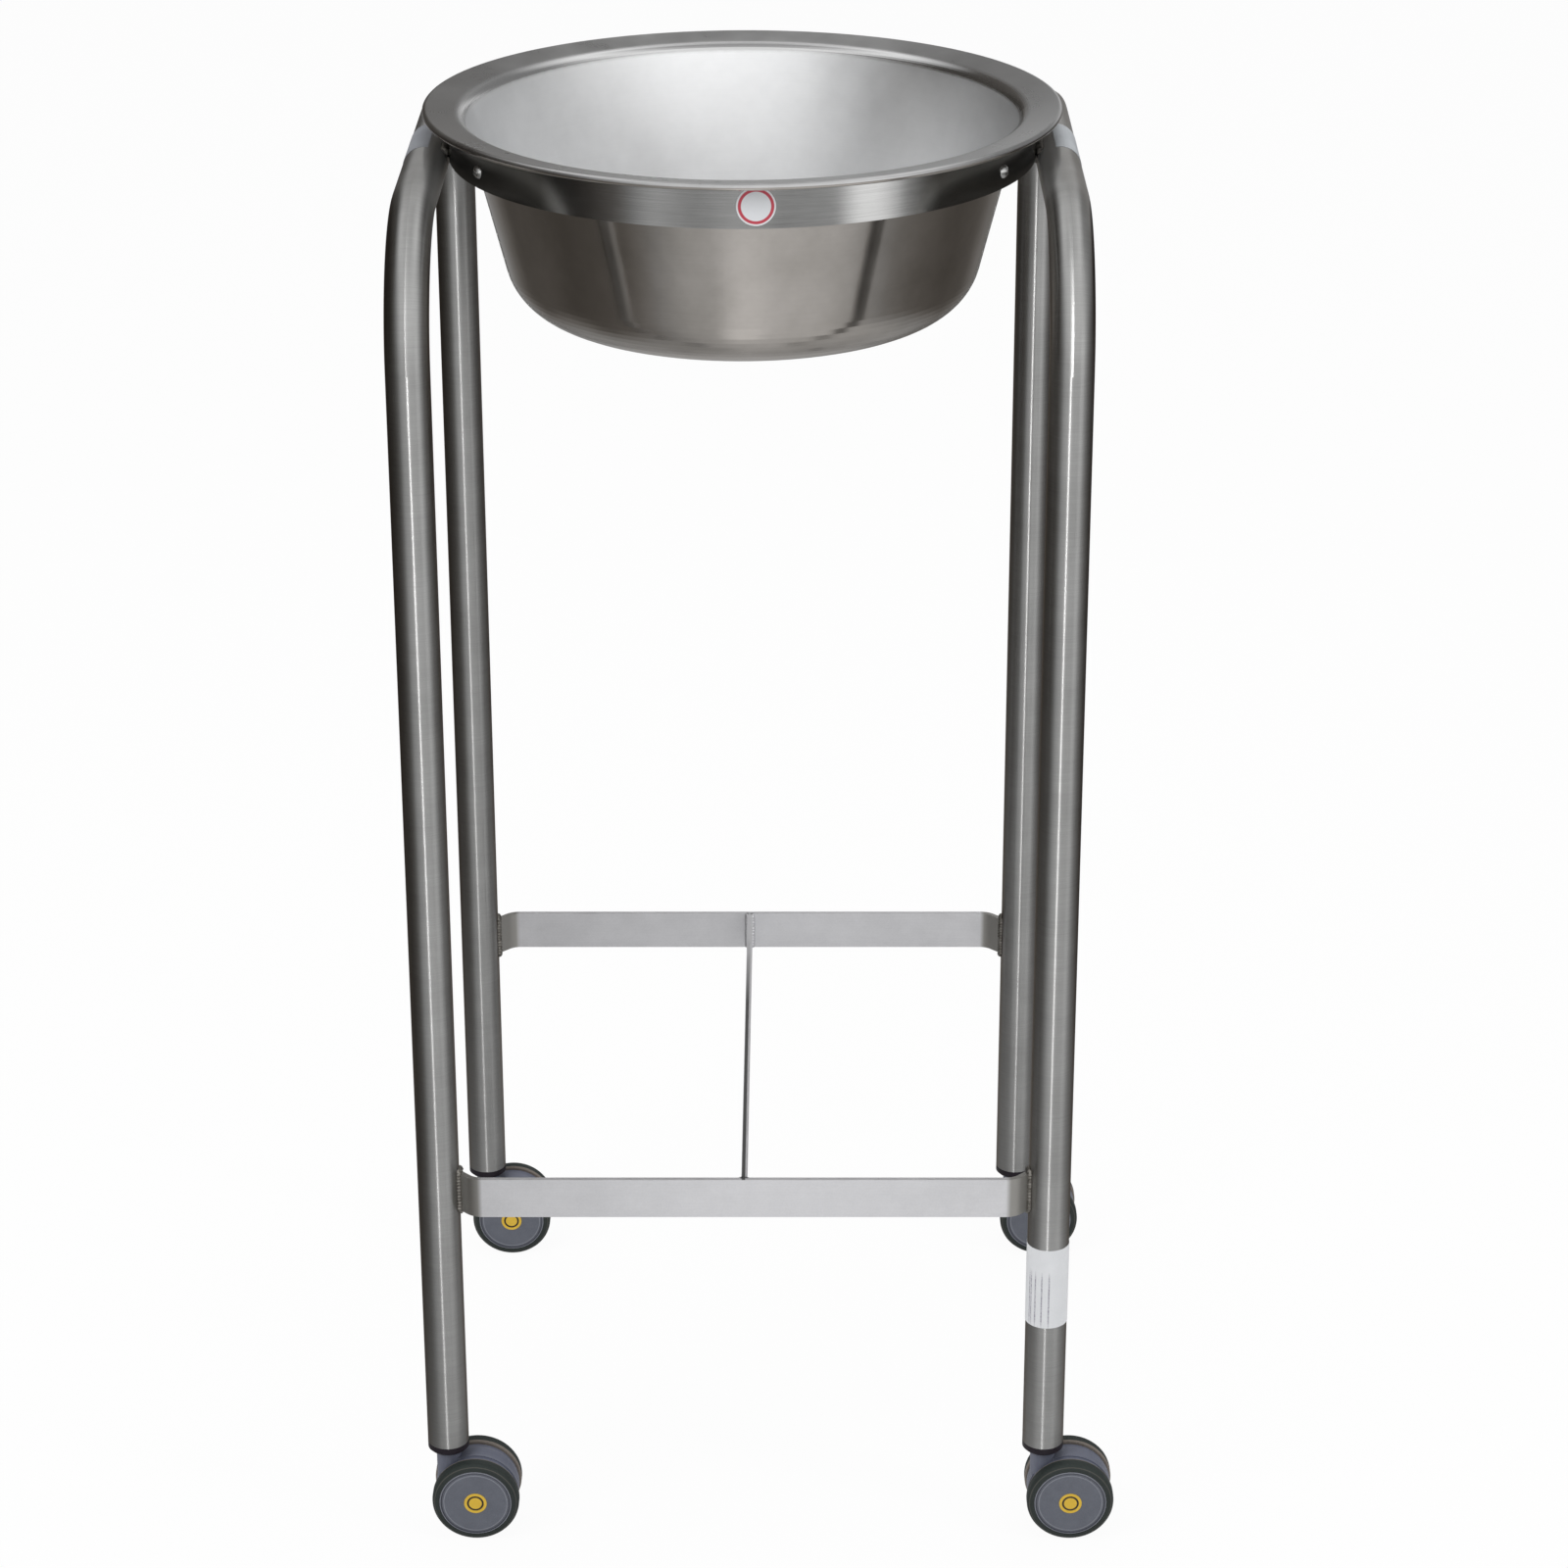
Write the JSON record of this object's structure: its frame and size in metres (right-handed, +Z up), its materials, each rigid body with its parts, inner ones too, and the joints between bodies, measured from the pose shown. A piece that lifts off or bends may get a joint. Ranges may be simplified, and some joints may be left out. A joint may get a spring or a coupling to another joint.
{
  "type": "basin stand",
  "caption": "Mobile basin stand: bent tube hoops with a low flat-bar brace carry a ring that holds a lift-out round steel basin, on swivelling twin-wheel casters.",
  "frame": {"origin": "on the floor under the middle of the four legs", "axes": "+Z up; +X to the right, from the left hoop to the right hoop; the front, with the round sticker on the ring, faces -Y"},
  "size_m": [0.4269, 0.3968, 0.8639],
  "materials": {
    "tube_steel": "ground and brushed stainless tube, satin with a sharp highlight",
    "bar_steel": "matte satin stainless flat bar",
    "basin_steel": "spun stainless sheet, bright outside and matte inside",
    "pin_steel": "turned steel",
    "black_plastic": "moulded black nylon",
    "slate_plastic": "moulded blue-grey nylon, fine texture",
    "tyre_rubber": "dark grey-green moulded rubber",
    "label_film": "white label stock",
    "yellow_film": "yellow sticker"
  },
  "bodies": {
    "frame": {"left_hoop_tube": "tube_steel", "right_hoop_tube": "tube_steel", "basin_ring": "tube_steel", "ring_rivets": "bar_steel", "ring_welds": "bar_steel", "front_brace_bar": "bar_steel", "rear_brace_bar": "bar_steel", "cross_brace_bar": "bar_steel", "brace_welds": "bar_steel", "left_hoop_label": "label_film", "right_hoop_label": "label_film", "leg_label": "label_film", "ring_sticker": "label_film", "stem_grip_rings": "pin_steel", "front_left_leg_socket": "black_plastic", "front_left_stem": "pin_steel", "front_right_leg_socket": "black_plastic", "front_right_stem": "pin_steel", "rear_left_leg_socket": "black_plastic", "rear_left_stem": "pin_steel", "rear_right_leg_socket": "black_plastic", "rear_right_stem": "pin_steel"},
    "basin": {"basin": "basin_steel"},
    "front_left_caster": {"front_left_caster_body": "slate_plastic", "front_left_axle": "pin_steel"},
    "front_left_front_wheel": {"front_left_front_tyre": "tyre_rubber", "front_left_front_hub": "slate_plastic", "front_left_front_sticker": "yellow_film"},
    "front_left_rear_wheel": {"front_left_rear_tyre": "tyre_rubber", "front_left_rear_hub": "slate_plastic", "front_left_rear_sticker": "yellow_film"},
    "front_right_caster": {"front_right_caster_body": "slate_plastic", "front_right_axle": "pin_steel"},
    "front_right_front_wheel": {"front_right_front_tyre": "tyre_rubber", "front_right_front_hub": "slate_plastic", "front_right_front_sticker": "yellow_film"},
    "front_right_rear_wheel": {"front_right_rear_tyre": "tyre_rubber", "front_right_rear_hub": "slate_plastic", "front_right_rear_sticker": "yellow_film"},
    "rear_left_caster": {"rear_left_caster_body": "slate_plastic", "rear_left_axle": "pin_steel"},
    "rear_left_front_wheel": {"rear_left_front_tyre": "tyre_rubber", "rear_left_front_hub": "slate_plastic", "rear_left_front_sticker": "yellow_film"},
    "rear_left_rear_wheel": {"rear_left_rear_tyre": "tyre_rubber", "rear_left_rear_hub": "slate_plastic", "rear_left_rear_sticker": "yellow_film"},
    "rear_right_caster": {"rear_right_caster_body": "slate_plastic", "rear_right_axle": "pin_steel"},
    "rear_right_front_wheel": {"rear_right_front_tyre": "tyre_rubber", "rear_right_front_hub": "slate_plastic", "rear_right_front_sticker": "yellow_film"},
    "rear_right_rear_wheel": {"rear_right_rear_tyre": "tyre_rubber", "rear_right_rear_hub": "slate_plastic", "rear_right_rear_sticker": "yellow_film"}
  },
  "joints": [
    {"name": "basin_lift", "type": "slide", "parent": "frame", "child": "basin", "axis": [0, 0, 1], "range_m": [0, 0.16]},
    {"name": "front_left_swivel", "type": "hinge", "parent": "frame", "child": "front_left_caster", "pos_m": [-0.185, -0.179, 0.0557], "axis": [0, 0, 1], "continuous": true},
    {"name": "front_left_front_wheel_spin", "type": "hinge", "parent": "front_left_caster", "child": "front_left_front_wheel", "pos_m": [-0.168, -0.1936, 0.027], "axis": [0, 1, 0], "continuous": true},
    {"name": "front_left_rear_wheel_spin", "type": "hinge", "parent": "front_left_caster", "child": "front_left_rear_wheel", "pos_m": [-0.168, -0.1644, 0.027], "axis": [0, 1, 0], "continuous": true},
    {"name": "front_right_swivel", "type": "hinge", "parent": "frame", "child": "front_right_caster", "pos_m": [0.185, -0.179, 0.0557], "axis": [0, 0, 1], "continuous": true},
    {"name": "front_right_front_wheel_spin", "type": "hinge", "parent": "front_right_caster", "child": "front_right_front_wheel", "pos_m": [0.202, -0.1936, 0.027], "axis": [0, 1, 0], "continuous": true},
    {"name": "front_right_rear_wheel_spin", "type": "hinge", "parent": "front_right_caster", "child": "front_right_rear_wheel", "pos_m": [0.202, -0.1644, 0.027], "axis": [0, 1, 0], "continuous": true},
    {"name": "rear_left_swivel", "type": "hinge", "parent": "frame", "child": "rear_left_caster", "pos_m": [-0.185, 0.179, 0.0557], "axis": [0, 0, 1], "continuous": true},
    {"name": "rear_left_front_wheel_spin", "type": "hinge", "parent": "rear_left_caster", "child": "rear_left_front_wheel", "pos_m": [-0.168, 0.1644, 0.027], "axis": [0, 1, 0], "continuous": true},
    {"name": "rear_left_rear_wheel_spin", "type": "hinge", "parent": "rear_left_caster", "child": "rear_left_rear_wheel", "pos_m": [-0.168, 0.1936, 0.027], "axis": [0, 1, 0], "continuous": true},
    {"name": "rear_right_swivel", "type": "hinge", "parent": "frame", "child": "rear_right_caster", "pos_m": [0.185, 0.179, 0.0557], "axis": [0, 0, 1], "continuous": true},
    {"name": "rear_right_front_wheel_spin", "type": "hinge", "parent": "rear_right_caster", "child": "rear_right_front_wheel", "pos_m": [0.202, 0.1644, 0.027], "axis": [0, 1, 0], "continuous": true},
    {"name": "rear_right_rear_wheel_spin", "type": "hinge", "parent": "rear_right_caster", "child": "rear_right_rear_wheel", "pos_m": [0.202, 0.1936, 0.027], "axis": [0, 1, 0], "continuous": true}
  ]
}
